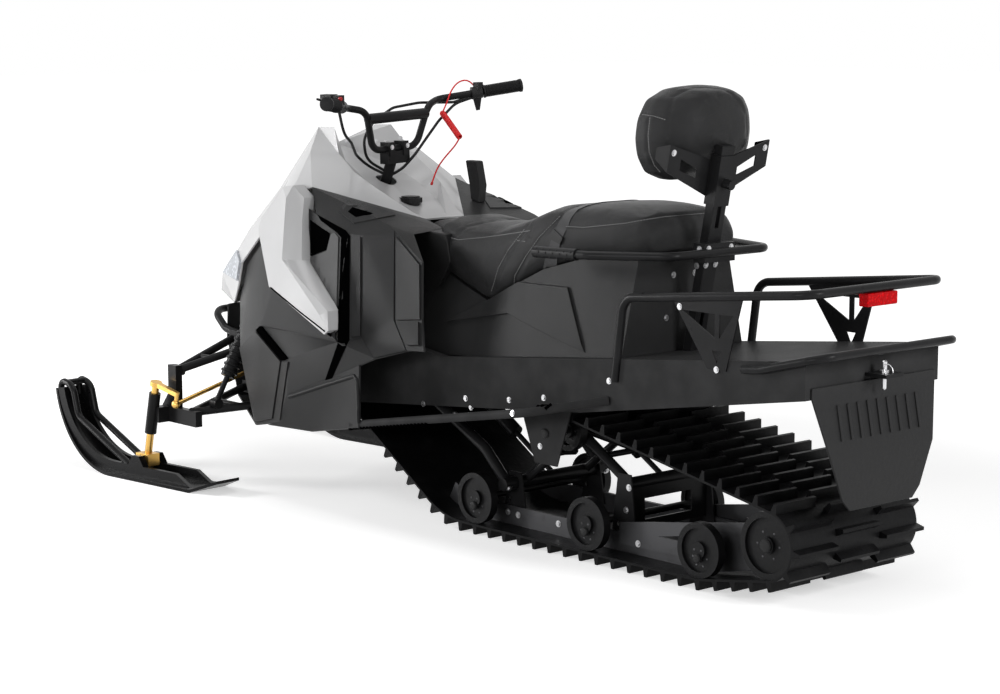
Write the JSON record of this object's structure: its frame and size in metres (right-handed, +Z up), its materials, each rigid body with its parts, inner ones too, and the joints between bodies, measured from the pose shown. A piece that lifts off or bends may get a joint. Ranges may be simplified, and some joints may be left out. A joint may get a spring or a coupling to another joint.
{
  "type": "utility snowmobile",
  "caption": "Two-seat utility snowmobile with a long rubber track, steered plastic skis, a padded seat with a height-adjustable backrest, and a rear rack.",
  "frame": {"origin": "on the ground, at the middle of the bounding box", "axes": "+X forward, +Y to the left, +Z up"},
  "size_m": [3.1098, 1.1739, 1.3171],
  "materials": {
    "track_rubber": "moulded black rubber",
    "wheel_plastic": "black moulded plastic",
    "rail_alloy": "bare alloy",
    "frame_black": "satin black powder coat",
    "sheet_black": "black textured coat on sheet",
    "engine_alloy": "cast",
    "seat_cover": "black synthetic leather",
    "dark_plastic": "grained black plastic",
    "light_plastic": "light grey gloss plastic",
    "lamp_red": "red lens",
    "flap_rubber": "moulded black rubber",
    "grip_rubber": "ribbed rubber",
    "lamp_clear": "clear lens",
    "cable_black": "black sheath",
    "tether_cover": "red coiled cover",
    "ski_plastic": "black gloss plastic",
    "gold_steel": "gold passivated steel"
  },
  "bodies": {
    "chassis": {"backrest_post": "frame_black", "belly_pan": "dark_plastic", "bulkhead": "frame_black", "console": "light_plastic", "drive_axle": "wheel_plastic", "engine": "engine_alloy", "front_arms": "frame_black", "front_bumper": "frame_black", "front_shocks": "frame_black", "fuel_cap": "dark_plastic", "gear_lever": "dark_plastic", "grab_bar": "frame_black", "headlamps": "lamp_clear", "hitch": "frame_black", "hood": "light_plastic", "knee_panels": "dark_plastic", "light_shrouds": "light_plastic", "rear_bumper": "frame_black", "rear_rack": "frame_black", "running_boards": "sheet_black", "seat": "seat_cover", "seat_base": "dark_plastic", "side_panels": "dark_plastic", "skid_arms": "frame_black", "skid_brackets": "frame_black", "skid_shocks": "frame_black", "slide_rails": "rail_alloy", "snow_flap": "flap_rubber", "steering_bearing": "frame_black", "tail_lamp": "lamp_red", "toe_guards": "dark_plastic", "track": "track_rubber", "track_wheels": "wheel_plastic", "tunnel": "sheet_black", "upper_frame": "frame_black"},
    "steering": {"handlebar": "frame_black", "grips": "grip_rubber", "bar_controls": "dark_plastic", "control_cables": "cable_black", "tether_cord": "tether_cover", "tether_coil": "tether_cover"},
    "backrest": {"backrest_bracket": "frame_black", "backrest_pad": "seat_cover"},
    "spindle_left_body": {"spindle_left": "gold_steel"},
    "tie_rod_left_body": {"tie_rod_left": "gold_steel"},
    "ski_left_body": {"ski_left": "ski_plastic"},
    "spindle_right_body": {"spindle_right": "gold_steel"},
    "tie_rod_right_body": {"tie_rod_right": "gold_steel"},
    "ski_right_body": {"ski_right": "ski_plastic"}
  },
  "joints": [
    {"name": "steering", "type": "hinge", "parent": "chassis", "child": "steering", "pos_m": [0.49427, 0, 0.979], "axis": [-0.3907, 0, 0.9205], "range_deg": [-36, 24]},
    {"name": "ski_turn_left", "type": "hinge", "parent": "chassis", "child": "spindle_left_body", "pos_m": [1.13527, 0.49, 0.062], "axis": [-0.2215, 0, 0.9751], "range_deg": [-32.8, 22]},
    {"name": "tie_rod_swing_left", "type": "hinge", "parent": "spindle_left_body", "child": "tie_rod_left_body", "pos_m": [0.98023, 0.47987, 0.26058], "axis": [-0.2215, 0, 0.9751], "range_deg": [-22, 32.8]},
    {"name": "ski_pitch_left", "type": "hinge", "parent": "spindle_left_body", "child": "ski_left_body", "pos_m": [1.13527, 0.49, 0.062], "axis": [-0.0941, 0.9956, 0], "range_deg": [-14, 12]},
    {"name": "ski_turn_right", "type": "hinge", "parent": "chassis", "child": "spindle_right_body", "pos_m": [1.13527, -0.49, 0.062], "axis": [-0.2215, 0, 0.9751], "range_deg": [-32.8, 22]},
    {"name": "tie_rod_swing_right", "type": "hinge", "parent": "spindle_right_body", "child": "tie_rod_right_body", "pos_m": [0.98023, -0.50013, 0.26058], "axis": [-0.2215, 0, 0.9751], "range_deg": [-22, 32.8]},
    {"name": "ski_pitch_right", "type": "hinge", "parent": "spindle_right_body", "child": "ski_right_body", "pos_m": [1.13527, -0.49, 0.062], "axis": [-0.0941, 0.9956, 0], "range_deg": [-14, 12]},
    {"name": "backrest_height", "type": "slide", "parent": "chassis", "child": "backrest", "axis": [-0.1908, 0, 0.9816], "range_m": [0, 0.05]}
  ],
  "couplings": [
    {"joint": "ski_turn_left", "follows": "steering", "ratio": 0.9},
    {"joint": "tie_rod_swing_left", "follows": "steering", "ratio": -0.9},
    {"joint": "ski_turn_right", "follows": "steering", "ratio": 0.9},
    {"joint": "tie_rod_swing_right", "follows": "steering", "ratio": -0.9}
  ]
}
